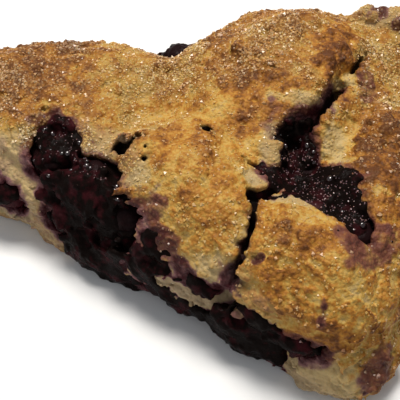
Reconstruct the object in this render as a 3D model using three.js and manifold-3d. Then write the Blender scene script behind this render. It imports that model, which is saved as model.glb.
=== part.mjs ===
// A blueberry scone: one wedge of baked dough, cut from a round, with burst blueberries in its
// cut sides and in the cracks of its top. Millimetres, +Z up, the flat base on z = 0.
// The tip points to -X, the browned outer edge to +X, and the origin is under the middle.
import * as THREE from "three";
import { mergeVertices } from "three/addons/utils/BufferGeometryUtils.js";
import Module from "manifold-3d";

const wasm = await Module();
wasm.setup();

// ---------- driving dimensions ----------

const wedge = {
  apexX: -90.5, // where the two cut sides would meet
  halfAngle: THREE.MathUtils.degToRad(18.5),
  turn: THREE.MathUtils.degToRad(0.5), // of its middle line towards +Y
  radius: 150, // of the browned outer edge, about the apex
  tipRound: 14.5,
  cornerRound: 12,
  rimRound: 11, // how the top rolls over into the sides
  sideLean: 0.1, // sides lean in by this much for each millimetre of height
  belly: 2.6, // how far the sides bulge at mid height
  bellyHeight: 15,
};

// The pillows of risen dough, each highest at its own middle.
const pillows = [
  { x: -30, y: 1, rx: 40, ry: 28, top: 26.5, drop: 5.5 }, // towards the tip
  { x: 27, y: 17, rx: 21, ry: 27, top: 35.5, drop: 7.5 }, // the high hump at the back
  { x: 11, y: -19, rx: 19, ry: 21, top: 30.5, drop: 6 }, // middle of the front side
  { x: 37, y: -32, rx: 16, ry: 18, top: 30.5, drop: 6.5 }, // front corner
  { x: 52, y: -3, rx: 16, ry: 30, top: 31.5, drop: 5 }, // along the outer edge
  { x: 50, y: 33, rx: 15, ry: 15, top: 31, drop: 6 }, // back corner
];
const pillowBlend = 1.2;

// Where the dough swelled past its cut sides, as ellipsoids: centre, radii and how softly it joins.
const swells = [
  { at: [46, -37, 4], r: [12, 10, 10], soft: 4 }, // front corner, over the tray
  { at: [24, 23.5, 16], r: [19.5, 17.2, 17.2], soft: 5 }, // behind the high hump
  { at: [-19, 10, 17], r: [21, 13.2, 11], soft: 3 }, // far shoulder of the tip
];

// Cracks in the top: a route in plan, each point with the half width there, and a depth.
// The dough rolls over into a crack with the radius soft.
const cracks = [
  {
    depth: 9,
    soft: 2,
    route: [[41.5, 22, 0.9], [40, 17, 1.2], [38, 12, 2.2], [36, 7, 1.8], [33, 0, 1.6]],
  },
  {
    depth: 11,
    soft: 3,
    route: [[30.8, -4, 3.6], [32, -8, 4.4], [35.3, -14.6, 4], [40.8, -18, 4.2], [45.5, -23, 3], [47, -26, 1]],
  },
  {
    depth: 10,
    soft: 2.5,
    route: [[31, -11, 3], [27, -14.6, 1.8], [24.4, -20, 2.8], [25.8, -27, 0.9], [26.4, -33, 0.9], [23, -37, 1]],
  },
  { depth: 4, soft: 1, route: [[18.5, -12, 0.6], [23, -12.8, 0.7], [27, -14, 1.2]] },
];

// Clefts that run across the sides: a route in space, each point with the radius there.
const clefts = [
  { soft: 3, route: [[6, -33, 15, 1], [15, -37.5, 18, 1.4], [20.5, -38.5, 17.5, 1.8], [24, -39.5, 12, 2.2]] },
  {
    soft: 3,
    route: [[24, -39.5, 13, 2], [27, -41.5, 8, 4.6], [33, -43.5, 7, 4.6], [37, -44.5, 11, 2], [40, -46, 12, 1]],
  },
  { soft: 2, route: [[-44, -13.5, 22, 0.6], [-36, -15.5, 21, 1], [-26, -19.5, 20, 1.4], [-20, -22, 17, 2]] },
  { soft: 3, route: [[-22, 24, 16, 0.8], [-6, 29.5, 18, 1.6], [6, 35, 15, 2.2], [16, 39.6, 17, 1]] },
  { soft: 3, route: [[24, 41, 22, 1], [33, 43.2, 15, 2.4], [41, 46, 8, 1.6]] },
  { soft: 3, route: [[60, 30, 20, 0.8], [62, 20, 15, 1.6], [62, 9, 18, 2], [62, -2, 14, 1]] },
  { soft: 3, route: [[62, -18, 22, 0.8], [61, -22, 14, 2], [59.5, -29, 9, 1.2]] },
];

// Hollows that burst fruit and steam left, as ellipsoids: centre, radii and the roll of the edge.
const hollows = [
  { at: [-19.5, -14.5, 24], r: [6, 5.6, 6], soft: 1.5 }, // bay in the front shoulder
  { at: [-10, -19.8, 19.5], r: [9.8, 5.4, 8], soft: 1.5 },
  { at: [-0.4, -24.4, 18.5], r: [4.2, 4.4, 6], soft: 1.5 },
  { at: [-12, -26, 12], r: [10, 3.2, 6], soft: 2 },
  { at: [29.4, -4.2, 24], r: [3, 3.2, 12], soft: 1 }, // the deep hole in the middle
  { at: [-3.4, -13.8, 26], r: [4, 2.3, 6], soft: 0.6 }, // small open bubble
  { at: [11.8, -7.3, 30], r: [1.2, 1.4, 4.5], soft: 0.4 },
  { at: [-4, -26, 15], r: [6, 4, 7], soft: 1.5 },
  { at: [-6, 26.5, 27], r: [6, 7, 6.5], soft: 2 }, // dip in the back rim
];

// Small pieces of dough that stand proud: centre and radii.
const knobs = [
  { at: [24.6, -17.4, 26], r: [2.6, 2.4, 2.6] },
  { at: [38.6, 12.6, 28.2], r: [2.2, 1.8, 2] },
  { at: [26.2, -38.6, 12], r: [2, 1.8, 2] },
  { at: [12, -33.8, 12.2], r: [4.4, 2.2, 1.4] }, // a torn flap along the front side
  { at: [17.6, -35.2, 10.4], r: [4.4, 2.2, 1.4] },
  { at: [46.5, 37, 28.5], r: [4.6, 4, 3.6] },
  { at: [40.2, 37.4, 29.2], r: [3, 3, 3.4] },
];

// Relief of the crust: a wavelength and a height for each size of crag.
const crags = [
  { wave: 13, height: 1.5 },
  { wave: 6, height: 0.8 },
];

// Blueberries that show: centre, radii, and how far the skin has caved in on top.
const berries = {
  berry_bay_top: { at: [-19.6, -13.4, 20.4], r: [5.4, 4.9, 4], sunk: 0.25 },
  berry_bay_middle: { at: [-9.2, -18.4, 18.4], r: [6.2, 5.2, 5.4], sunk: 0.1 },
  berry_bay_right: { at: [-0.6, -23.2, 16.4], r: [4.6, 4.4, 5], sunk: 0.12 },
  berry_bay_burst: { at: [-12.5, -22, 10.6], r: [7, 3.9, 5.2], sunk: 0.3 },
  berry_tip: { at: [-30, -17.4, 11], r: [5.8, 4.4, 4.2], sunk: 0.15 },
  berry_foot_left: { at: [-6, -25, 5], r: [5.4, 3.8, 3.8], sunk: 0.2 },
  berry_foot_middle: { at: [2, -27.5, 3.6], r: [4.6, 3.4, 3.2], sunk: 0.2 },
  berry_side_middle: { at: [9.5, -30.6, 6.2], r: [5.6, 3.4, 5], sunk: 0.2 },
  berry_crack_back: { at: [33, -8.6, 20], r: [5.6, 5.8, 5], sunk: 0.3 },
  berry_crack_middle: { at: [39.6, -16.2, 21.4], r: [6, 5.6, 5], sunk: 0.3 },
  berry_crack_front: { at: [45, -22.6, 22.8], r: [4.8, 4.8, 4.2], sunk: 0.3 },
  berry_crack_skin: { at: [27.2, -13.6, 22], r: [3.4, 3.2, 3.2], sunk: 0.2 },
  berry_crack_left: { at: [24, -20.8, 20], r: [3.6, 4.2, 3.6], sunk: 0.1 },
  berry_side_front: { at: [29.5, -37.2, 8], r: [6, 3.6, 4.8], sunk: 0.25 },
  berry_side_corner: { at: [38.4, -41.2, 12], r: [4.8, 3.4, 2.9], sunk: 0.2 },
  berry_back_rim: { at: [-1.4, 23.4, 19.9], r: [4.4, 4, 3.8], sunk: 0.15 },
  berry_back_tip: { at: [-24, 21.6, 9.6], r: [5.6, 4, 4.8], sunk: 0.15 },
  berry_back_side: { at: [19, 37.8, 10.6], r: [6, 4, 5], sunk: 0.2 },
  berry_edge_back: { at: [57, 16, 10], r: [4, 5.6, 5], sunk: 0.15 },
};

const clearance = 0.35; // between a berry and what it touches
const mesh = { cell: 3.15, margin: 8, height: 42, berryDetail: 2 };

// ---------- noise and smooth joins ----------

// A repeatable random value from -1 to 1 for each lattice point.
function latticeValue(ix, iy, iz) {
  let h = Math.imul(ix, 374761393) + Math.imul(iy, 668265263) + Math.imul(iz, 1274126177);
  h = Math.imul(h ^ (h >>> 13), 1103515245);
  return (((h ^ (h >>> 16)) >>> 0) / 4294967295) * 2 - 1;
}

const fade = (t) => t * t * (3 - 2 * t);

// Smooth value noise, from -1 to 1.
function noise(x, y, z) {
  const [ix, iy, iz] = [Math.floor(x), Math.floor(y), Math.floor(z)];
  const [u, v, w] = [fade(x - ix), fade(y - iy), fade(z - iz)];
  const mix = THREE.MathUtils.lerp;
  const row = (j, k) => mix(latticeValue(ix, iy + j, iz + k), latticeValue(ix + 1, iy + j, iz + k), u);
  return mix(mix(row(0, 0), row(1, 0), v), mix(row(0, 1), row(1, 1), v), w);
}

// Where solids overlap, with the edge between them rounded to radius r.
function roundedOverlap(r, ...distances) {
  const beyond = Math.hypot(...distances.map((d) => Math.max(d + r, 0)));
  return beyond - r + Math.min(Math.max(...distances) + r, 0);
}

function smoothMax(a, b, k) {
  const h = Math.max(k - Math.abs(a - b), 0) / k;
  return Math.max(a, b) + (h * h * k) / 4;
}

function ellipsoidDistance(p, { at, r }) {
  const q = [0, 1, 2].map((i) => (p[i] - at[i]) / r[i]);
  return (Math.hypot(...q) - 1) * Math.min(...r);
}

// ---------- the dough ----------

// Height of the risen top over a point of the plan.
function topHeight(x, y) {
  return pillows.reduce((height, p) => {
    const spread = ((x - p.x) / p.rx) ** 2 + ((y - p.y) / p.ry) ** 2;
    return smoothMax(height, p.top - p.drop * spread, pillowBlend);
  }, 0);
}

// Distance outside the wedge's outline, with its tip and its two outer corners rounded.
function outlineDistance(x, y) {
  const [sin, cos] = [Math.sin(wedge.halfAngle), Math.cos(wedge.halfAngle)];
  const [turnSin, turnCos] = [Math.sin(wedge.turn), Math.cos(wedge.turn)];
  const along = (x - wedge.apexX) * turnCos + y * turnSin;
  const aside = Math.abs(y * turnCos - (x - wedge.apexX) * turnSin); // from the middle line
  const pastTip = along - wedge.tipRound / sin; // measured from the centre of the tip's arc
  const beforeTip = pastTip * cos + aside * sin < 0;
  const cut = beforeTip ? Math.hypot(pastTip, aside) : aside * cos - pastTip * sin;
  const outer = Math.hypot(along, aside) - wedge.radius;
  return roundedOverlap(wedge.cornerRound, cut - wedge.tipRound, outer);
}

// The same for the sides, which lean in towards the top and bulge at mid height.
function sideDistance(x, y, z) {
  const rise = (z - wedge.bellyHeight) / wedge.bellyHeight;
  const bulge = wedge.belly * Math.max(1 - rise * rise, -1);
  return outlineDistance(x, y) + wedge.sideLean * z - bulge;
}

// Distance from the nearest stretch of a route, less the width there; shut scales the width.
// The route has dim coordinates and a width in each of its points.
function routeDistance(p, route, dim, shut = 1) {
  let nearest = Infinity;
  for (let i = 1; i < route.length; i++) {
    const [a, b] = [route[i - 1], route[i]];
    let [dot, span] = [0, 0];
    for (let m = 0; m < dim; m++) {
      dot += (p[m] - a[m]) * (b[m] - a[m]);
      span += (b[m] - a[m]) ** 2;
    }
    const s = THREE.MathUtils.clamp(dot / span, 0, 1);
    let off = 0;
    for (let m = 0; m < dim; m++) off += (p[m] - a[m] - s * (b[m] - a[m])) ** 2;
    nearest = Math.min(nearest, Math.sqrt(off) - shut * (a[dim] + s * (b[dim] - a[dim])));
  }
  return nearest;
}

// Distance from a crack's walls, negative inside; it narrows to nothing at its floor.
function crackDistance(x, y, z, crack) {
  const floor = topHeight(x, y) - crack.depth;
  const open = Math.sqrt(THREE.MathUtils.clamp((z - floor) / crack.depth, 0, 1));
  return Math.max(routeDistance([x, y], crack.route, 2, open), floor - z);
}

// The whole dough as a field: negative inside, positive outside.
function doughField(x, y, z) {
  const top = (z - topHeight(x, y)) * 0.9;
  let d = roundedOverlap(wedge.rimRound, sideDistance(x, y, z), top);
  for (const swell of swells) d = -smoothMax(-d, -ellipsoidDistance([x, y, z], swell), swell.soft);
  for (const crag of crags) d -= crag.height * noise(x / crag.wave, y / crag.wave, z / crag.wave);
  for (const crack of cracks) d = smoothMax(d, -crackDistance(x, y, z, crack), crack.soft);
  for (const cleft of clefts) d = smoothMax(d, -routeDistance([x, y, z], cleft.route, 3), cleft.soft);
  for (const hollow of hollows) d = smoothMax(d, -ellipsoidDistance([x, y, z], hollow), hollow.soft);
  for (const knob of knobs) d = -smoothMax(-d, -ellipsoidDistance([x, y, z], knob), 1);
  return Math.max(d, -z - mesh.cell); // closed just under the table, which then trims it flat
}

// ---------- from a field to a closed mesh ----------

// One vertex in each cell that the surface crosses, and one quad across each grid edge it crosses.
function surfaceOf(field, low, high, cell) {
  const n = low.map((lo, i) => Math.ceil((high[i] - lo) / cell) + 1);
  const stride = [1, n[0], n[0] * n[1]];
  const values = new Float32Array(n[0] * n[1] * n[2]);
  const index = (i, j, k) => i + j * stride[1] + k * stride[2];
  const place = (axis, step) => low[axis] + step * cell;
  for (let k = 0; k < n[2]; k++)
    for (let j = 0; j < n[1]; j++)
      for (let i = 0; i < n[0]; i++)
        values[index(i, j, k)] = field(place(0, i), place(1, j), place(2, k));
  fillSaddles(values, n, stride);

  const vertexOf = new Map();
  const points = [];
  const corners = [0, 1, 2, 3, 4, 5, 6, 7].map((c) => [c & 1, (c >> 1) & 1, c >> 2]);
  for (let k = 0; k < n[2] - 1; k++)
    for (let j = 0; j < n[1] - 1; j++)
      for (let i = 0; i < n[0] - 1; i++) {
        const sum = [0, 0, 0];
        let crossings = 0;
        corners.forEach((a, ca) =>
          [1, 2, 4].forEach((bit, axis) => {
            if (ca & bit) return;
            const va = values[index(i + a[0], j + a[1], k + a[2])];
            const b = corners[ca | bit];
            const vb = values[index(i + b[0], j + b[1], k + b[2])];
            if (va < 0 === vb < 0) return;
            const t = va / (va - vb);
            for (let m = 0; m < 3; m++) sum[m] += a[m] + (m === axis ? t : 0);
            crossings++;
          }),
        );
        if (!crossings) continue;
        vertexOf.set(index(i, j, k), points.length / 3);
        [i, j, k].forEach((step, axis) => points.push(place(axis, step + sum[axis] / crossings)));
      }

  const faces = [];
  for (let k = 1; k < n[2] - 1; k++)
    for (let j = 1; j < n[1] - 1; j++)
      for (let i = 1; i < n[0] - 1; i++)
        for (let axis = 0; axis < 3; axis++) {
          const at = index(i, j, k);
          const inside = values[at] < 0;
          if (inside === values[at + stride[axis]] < 0) continue;
          const [u, v] = [stride[(axis + 1) % 3], stride[(axis + 2) % 3]];
          const ring = [at, at - u, at - u - v, at - v].map((c) => vertexOf.get(c));
          if (!inside) ring.reverse();
          faces.push(ring[0], ring[1], ring[2], ring[0], ring[2], ring[3]);
        }
  return solidOf(geometryOf(points, faces));
}

// Where only two opposite corners of a grid square are inside, one more joins them,
// so that no edge of the mesh is shared by four faces.
function fillSaddles(values, n, stride) {
  let changed = true;
  while (changed) {
    changed = false;
    for (let k = 0; k < n[2] - 1; k++)
      for (let j = 0; j < n[1] - 1; j++)
        for (let i = 0; i < n[0] - 1; i++)
          for (let axis = 0; axis < 3; axis++) {
            const at = i + j * stride[1] + k * stride[2];
            const [u, v] = [stride[(axis + 1) % 3], stride[(axis + 2) % 3]];
            const square = [at, at + u, at + u + v, at + v];
            const [a, b, c, d] = square.map((s) => values[s] < 0);
            if (a !== c || b !== d || a === b) continue;
            const outside = a ? [square[1], square[3]] : [square[0], square[2]];
            const filled = values[outside[0]] < values[outside[1]] ? outside[0] : outside[1];
            values[filled] = -Math.abs(values[filled]) - 0.01;
            changed = true;
          }
  }
}

function geometryOf(points, faces) {
  const geometry = new THREE.BufferGeometry();
  geometry.setAttribute("position", new THREE.Float32BufferAttribute(points, 3));
  geometry.setIndex(faces);
  return geometry;
}

function solidOf(geometry) {
  return new wasm.Manifold(
    new wasm.Mesh({
      numProp: 3,
      vertProperties: geometry.attributes.position.array,
      triVerts: new Uint32Array(geometry.index.array),
    }),
  );
}

// three.js shapes repeat a vertex along their seams, which a closed solid shares.
function withSharedVertices(geometry) {
  const bare = geometry.clone();
  bare.deleteAttribute("normal");
  bare.deleteAttribute("uv");
  return mergeVertices(bare);
}

// The largest body of a solid, as a geometry: loose scraps are dropped.
function geometryFrom(solid) {
  const [largest] = solid.decompose().sort((a, b) => b.volume() - a.volume());
  const made = largest.getMesh();
  return geometryOf(made.vertProperties, Array.from(made.triVerts));
}

// ---------- the berries ----------

// A soft, slightly wrinkled berry whose top has caved in; grown makes it larger all round.
function berrySolid({ at, r, sunk }, grown = 0) {
  const geometry = new THREE.IcosahedronGeometry(1, mesh.berryDetail);
  const position = geometry.attributes.position;
  const p = new THREE.Vector3();
  for (let i = 0; i < position.count; i++) {
    p.fromBufferAttribute(position, i);
    const wrinkle = 1 + 0.09 * noise(p.x * 1.7 + at[0], p.y * 1.7 + at[1], p.z * 1.7 + at[2]);
    const cave = 1 - sunk * Math.max(p.z, 0) ** 4;
    const size = r.map((radius) => radius * wrinkle + grown);
    position.setXYZ(i, at[0] + p.x * size[0], at[1] + p.y * size[1], at[2] + p.z * size[2] * cave);
  }
  return solidOf(withSharedVertices(geometry));
}

// ---------- assembly ----------

const crumbMaterial = new THREE.MeshStandardMaterial({ color: 0xc08a4a, roughness: 0.8, metalness: 0 });
const berryMaterial = new THREE.MeshStandardMaterial({ color: 0x2a1420, roughness: 0.35, metalness: 0 });

const scone = new THREE.Group();

function addPiece(name, solid, material) {
  const piece = new THREE.Mesh(geometryFrom(solid), material);
  piece.name = name;
  scone.add(piece);
}

// A berry pressed against one that lies before it in the list is cut back to clear it.
const grownSoFar = [];
for (const [name, berry] of Object.entries(berries)) {
  const cleared = grownSoFar.reduce((solid, other) => solid.subtract(other), berrySolid(berry));
  addPiece(name, cleared, berryMaterial);
  grownSoFar.push(berrySolid(berry, clearance));
}

const reach = wedge.radius + wedge.apexX + mesh.margin;
const half = wedge.radius * Math.sin(wedge.halfAngle + wedge.turn) + mesh.margin;
const low = [-reach, -half, -mesh.margin];
const high = [reach, half, mesh.height];
const crust = surfaceOf(doughField, low, high, mesh.cell);
const slab = new THREE.BoxGeometry(4 * reach, 4 * half, 20).translate(0, 0, -10);
const belowTable = solidOf(withSharedVertices(slab));
const sockets = [belowTable, ...grownSoFar];
addPiece("dough", sockets.reduce((solid, cut) => solid.subtract(cut), crust), crumbMaterial);

export default scone;
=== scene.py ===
import math

import bmesh
import bpy
import numpy as np
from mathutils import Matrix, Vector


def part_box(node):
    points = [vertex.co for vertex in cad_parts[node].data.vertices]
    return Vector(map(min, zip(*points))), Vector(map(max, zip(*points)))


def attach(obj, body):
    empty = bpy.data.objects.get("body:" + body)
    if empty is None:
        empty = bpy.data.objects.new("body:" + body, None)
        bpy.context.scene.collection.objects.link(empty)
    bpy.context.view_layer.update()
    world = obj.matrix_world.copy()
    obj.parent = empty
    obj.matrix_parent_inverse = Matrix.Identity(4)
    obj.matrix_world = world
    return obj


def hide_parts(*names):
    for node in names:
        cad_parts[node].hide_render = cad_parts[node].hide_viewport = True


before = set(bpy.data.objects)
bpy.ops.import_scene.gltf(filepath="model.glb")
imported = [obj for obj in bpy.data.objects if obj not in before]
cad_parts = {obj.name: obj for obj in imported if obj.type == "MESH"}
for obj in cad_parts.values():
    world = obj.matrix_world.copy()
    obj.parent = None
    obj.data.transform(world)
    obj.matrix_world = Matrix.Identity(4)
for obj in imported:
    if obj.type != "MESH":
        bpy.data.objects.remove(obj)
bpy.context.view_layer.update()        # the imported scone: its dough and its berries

import openvdb
from mathutils import Vector

# A blueberry scone on a pale table. Shapes are worked out in millimetres, as in the workshop
# drawing, and turned into metres where a mesh is made. The tip of the wedge points to -X.
mm = 0.001
random = np.random.default_rng(41)


# camera and light

view = {
    "azimuth": 13.2,        # degrees; 0 looks along +Y
    "elevation": 50.0,
    "distance": 200.0,
    "lookAt": (9.5, -2.4, 0.0),
    "fieldWidth": 95.0,     # how much of the table the picture shows across
    "sensorWidth": 36.0,
    "nearest": 5.0,         # whatever is nearer to the camera isn't drawn
}

studio = {
    "sky": {"colour": (0.93, 0.96, 1.0), "strength": 0.34},
    "key": {"place": (-60.0, 170.0, 600.0), "size": 220.0, "power": 4.6, "colour": (1.0, 0.96, 0.90)},
    "fill": {"place": (-220.0, -260.0, 190.0), "size": 260.0, "power": 0.1, "colour": (1.0, 1.0, 1.0)},
}


def placeCamera():
    turn = math.radians(view["azimuth"])
    lift = math.radians(view["elevation"])
    back = Vector((math.sin(turn) * math.cos(lift), -math.cos(turn) * math.cos(lift), math.sin(lift)))
    lens = bpy.data.cameras.new("camera")
    lens.sensor_width = view["sensorWidth"]
    lens.lens = view["sensorWidth"] * view["distance"] / view["fieldWidth"]
    lens.clip_start = view["nearest"] * mm
    camera = bpy.data.objects.new("camera", lens)
    bpy.context.scene.collection.objects.link(camera)
    camera.location = (Vector(view["lookAt"]) + back * view["distance"]) * mm
    camera.rotation_euler = back.to_track_quat("Z", "Y").to_euler()
    bpy.context.scene.camera = camera
    bpy.context.scene.view_settings.view_transform = "Standard"   # colours as the camera saw them


def placeSoftbox(name):
    box = studio[name]
    light = bpy.data.lights.new(name, "AREA")
    light.size = box["size"] * mm
    light.energy = box["power"]
    light.color = box["colour"]
    lamp = bpy.data.objects.new(name, light)
    bpy.context.scene.collection.objects.link(lamp)
    lamp.location = Vector(box["place"]) * mm
    lamp.rotation_euler = lamp.location.to_track_quat("Z", "Y").to_euler()   # faces the scone


def lightStudio():
    world = bpy.data.worlds.new("studio")
    bpy.context.scene.world = world
    world.use_nodes = True
    sky = world.node_tree.nodes["Background"]
    sky.inputs["Color"].default_value = (*studio["sky"]["colour"], 1.0)
    sky.inputs["Strength"].default_value = studio["sky"]["strength"]
    placeSoftbox("key")
    placeSoftbox("fill")


# noise and smooth joins, all in millimetres

# large odd numbers that scramble the three places of a lattice point, and then their sum
scramble = [np.uint32(number) for number in (374761393, 668265263, 1274126177, 1103515245)]
largestScrambled = np.float32(2 ** 32 - 1)


def latticeValue(ix, iy, iz):
    # a repeatable random value from -1 to 1 for each lattice point
    h = ix.astype(np.uint32) * scramble[0] + iy.astype(np.uint32) * scramble[1]
    h = h + iz.astype(np.uint32) * scramble[2]
    h = (h ^ (h >> np.uint32(13))) * scramble[3]
    h = h ^ (h >> np.uint32(16))
    return (h / largestScrambled).astype(np.float32) * 2 - 1


def softNoise(x, y, z):
    # smooth noise from -1 to 1, one bump for each unit
    corner = [np.floor(v).astype(np.int64) for v in (x, y, z)]
    part = [v - c for v, c in zip((x, y, z), corner)]
    part = [(t * t * (3 - 2 * t)).astype(np.float32) for t in part]
    total = 0
    for i in (0, 1):
        for j in (0, 1):
            for k in (0, 1):
                share = (part[0] if i else 1 - part[0]) * (part[1] if j else 1 - part[1])
                share = share * (part[2] if k else 1 - part[2])
                total = total + share * latticeValue(corner[0] + i, corner[1] + j, corner[2] + k)
    return total


def turnedNoise(x, y, z, wave, shift=0.0):
    # soft noise, turned so that its lattice doesn't line up with the scone
    u = 0.80 * x + 0.36 * y - 0.48 * z
    v = -0.60 * x + 0.48 * y - 0.64 * z
    w = 0.80 * y + 0.60 * z
    return softNoise(u / wave + shift, v / wave + 2.7 * shift, w / wave - 1.3 * shift)


def creasedNoise(x, y, z, wave, shift=0.0):
    # rounded bumps with creases between them, about as much above zero as below
    return 2 * np.abs(turnedNoise(x, y, z, wave, shift)) - 0.55


def roundedOverlap(radius, *distances):
    # what several shapes share, with its edges rounded
    beyond = np.sqrt(sum(np.maximum(d + radius, 0) ** 2 for d in distances))
    deepest = distances[0]
    for d in distances[1:]:
        deepest = np.maximum(deepest, d)
    return beyond - radius + np.minimum(deepest + radius, 0)


def smoothMax(a, b, k):
    h = np.maximum(k - np.abs(a - b), 0) / k
    return np.maximum(a, b) + h * h * k / 4


def smoothMin(a, b, k):
    return -smoothMax(-a, -b, k)


def smoothStep(low, high, value):
    t = np.clip((value - low) / (high - low), 0, 1)
    return t * t * (3 - 2 * t)


# the dough

dough = {
    "voxel": 0.5,           # size of the modelling grid; smaller gives a finer crust
    "triangles": 190000,
    "apexX": -90.5,         # where the two cut sides would meet
    "halfAngle": math.radians(18.5),
    "turn": math.radians(0.5),    # of its middle line towards +Y
    "radius": 150.0,        # of the browned outer edge, about the apex
    "tipRound": 14.5,
    "cornerRound": 12.0,
    "rimRound": 11.0,
    "sideLean": 0.1,
    "belly": 2.6,
    "bellyHeight": 15.0,
    "pillowBlend": 1.2,
    "lidScale": 0.9,        # evens out the distances above the sloping pillows
    "sideRange": (-4, 3),   # where the top goes over into a side
    "knobBlend": 1.0,
    "baseRound": 1.2,       # the edge of the flat underside
    "socketGap": 0.3,       # between a berry and the dough
    "socketRound": 1.2,
    "reliefReach": 2.6,     # how far from the surface the fine relief is worked out
    "low": (-66.0, -51.0, -2.0),
    "high": (67.0, 52.0, 41.5),
}
farOutside = 3.0            # a distance for grid cells that are well away from any surface

# risen pillows of dough: middle, spread, height and how far they fall at the spread
pillows = [
    {"x": -30, "y": 1, "rx": 40, "ry": 28, "top": 26.5, "drop": 5.5},
    {"x": 27, "y": 17, "rx": 21, "ry": 27, "top": 35.5, "drop": 7.5},
    {"x": 11, "y": -19, "rx": 19, "ry": 21, "top": 30.5, "drop": 6},
    {"x": 37, "y": -32, "rx": 16, "ry": 18, "top": 30.5, "drop": 6.5},
    {"x": 52, "y": -3, "rx": 16, "ry": 30, "top": 31.5, "drop": 5},
    {"x": 50, "y": 33, "rx": 15, "ry": 15, "top": 31, "drop": 6},
]

# where the dough swelled past its cut sides: centre, radii and how softly it joins
swells = [
    ((46, -37, 4), (12, 10, 10), 4),
    ((24, 23.5, 16), (19.5, 17.2, 17.2), 5),
    ((-19, 10, 17), (21, 13.2, 11), 3),
]

# cracks in the top: a route in plan with the half width at each point
cracks = [
    {"depth": 9, "soft": 1.2,
     "route": [(41.5, 22, 0.4), (40, 17, 0.8), (38, 12, 2), (36, 7, 1.5), (33, 0, 1.2)]},
    {"depth": 11, "soft": 2.4,
     "route": [(30.8, -4, 3.4), (32, -8, 4.4), (35.3, -14.6, 4), (40.8, -18, 4.2), (45.5, -23, 3),
               (47, -26, 1)]},
    {"depth": 10, "soft": 1.2,
     "route": [(31, -11, 3), (28.6, -15.2, 1.6), (27.4, -18.4, 0.9), (24.8, -20.8, 2),
               (25.3, -23.5, 0.7), (25.8, -27, 0.65), (25.4, -31, 0.7), (24.6, -34.5, 1),
               (22, -38.5, 1.9)]},
    {"depth": 4, "soft": 0.8, "route": [(18.5, -12, 0.4), (23, -12.8, 0.5), (27, -14, 1.2)]},
]

# clefts across the sides: a route in space with the radius at each point
clefts = [
    {"soft": 3, "route": [(6, -33, 15, 1), (15, -37.5, 18, 1.4), (20.5, -38.5, 17.5, 1.8),
                          (24, -39.5, 12, 2.2)]},
    {"soft": 3, "route": [(24, -39.5, 14, 2.4), (27, -41.5, 9.5, 4.9), (33, -43.5, 8, 4.8),
                          (37, -44.5, 11, 2), (40, -46, 12, 1)]},
    {"soft": 2, "route": [(-44, -13.5, 22, 0.6), (-36, -15.5, 21, 1), (-26, -19.5, 20, 1.4),
                          (-20, -22, 17, 1.6)]},
    {"soft": 3, "route": [(-22, 24, 16, 0.8), (-6, 29.5, 18, 1.6), (6, 35, 15, 2.2), (16, 39.6, 17, 1)]},
    {"soft": 3, "route": [(24, 41, 22, 1), (33, 43.2, 15, 2.4), (41, 46, 8, 1.6)]},
    {"soft": 3, "route": [(60, 30, 20, 0.8), (62, 20, 15, 1.6), (62, 9, 18, 2), (62, -2, 14, 1)]},
    {"soft": 3, "route": [(62, -18, 22, 0.8), (61, -22, 14, 2), (59.5, -29, 9, 1.2)]},
]

# hollows that burst fruit and steam left: centre, radii and the roll of the edge
hollows = [
    ((-18.8, -14.4, 24), (5.5, 5.6, 6), 1.5),
    ((-10, -19.8, 19.5), (9.8, 5.4, 8), 1.5),
    ((-0.4, -24.4, 18.5), (4.2, 4.4, 6), 1.5),
    ((-12, -26, 12), (10, 3.2, 6), 2),
    ((29.4, -4.2, 24), (3, 3.2, 12), 1),
    ((-3.2, -12.9, 26), (4.6, 2.7, 6.5), 0.5),
    ((11.8, -7.3, 30), (1.0, 1.3, 6), 0.4),
    ((1.2, -15.3, 27), (0.9, 1.5, 5), 0.4),
    ((-2, -26.8, 15), (8.5, 4.6, 7.5), 1.5),
    ((-6, 26.5, 27), (6, 7, 6.5), 2),
]

# small pieces of dough that stand proud: centre and radii
knobs = [
    ((24.8, -17.2, 26.6), (2.4, 2, 1.6)),
    ((38.8, 12.8, 28.8), (2.1, 1.5, 1.8)),
    ((26.2, -39, 13), (1.6, 1.6, 1.6)),
    ((12, -33.8, 12.2), (4.4, 2.2, 1.4)),
    ((17.6, -35.2, 10.4), (4.4, 2.2, 1.4)),
    ((46.5, 37, 28.5), (4.6, 4, 3.6)),
    ((40.4, 37.4, 29.2), (2.4, 2.6, 3)),
    ((38.6, 35.8, 29.8), (1.5, 1.6, 1.6)),
    ((41.6, 35.6, 31), (1.8, 1.3, 1.4)),
    ((44.2, 38.4, 30.8), (2.2, 1.6, 1.5)),
    ((48.4, 35.4, 31), (1.7, 1.5, 1.4)),
    ((-4.2, -12.2, 27.6), (1.3, 1.1, 1.3)),
]

# large, slow unevenness of the whole wedge
crags = [{"wave": 13, "height": 1.5}, {"wave": 6, "height": 0.8}]

# finer relief of the baked crust: rounded crumbs with creases between them
crumbs = {
    "sizes": [
        {"wave": 3.6, "height": 0.45, "rounded": False},
        {"wave": 2.2, "height": 0.38, "rounded": True},
        {"wave": 1.25, "height": 0.26, "rounded": True},
    ],
    "layered": 0.9,         # how far the torn sides are drawn out into level layers
    "torn": 0.5,            # how much rougher those sides are
    "poreWave": 1.9,
    "poreDepth": 1.6,
    "poreStart": 0.42,      # where the pores' noise is higher than this, there is a pore
    "jamRange": (-0.2, 0.6),    # thickness of the jam that smooths all this over
    "jamSmooths": 0.75,     # and how much of it goes there
}


def ellipsoidDistance(x, y, z, at, r):
    # about the distance from an ellipsoid
    q = np.sqrt(((x - at[0]) / r[0]) ** 2 + ((y - at[1]) / r[1]) ** 2 + ((z - at[2]) / r[2]) ** 2)
    return (q - 1) * min(r)


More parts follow.
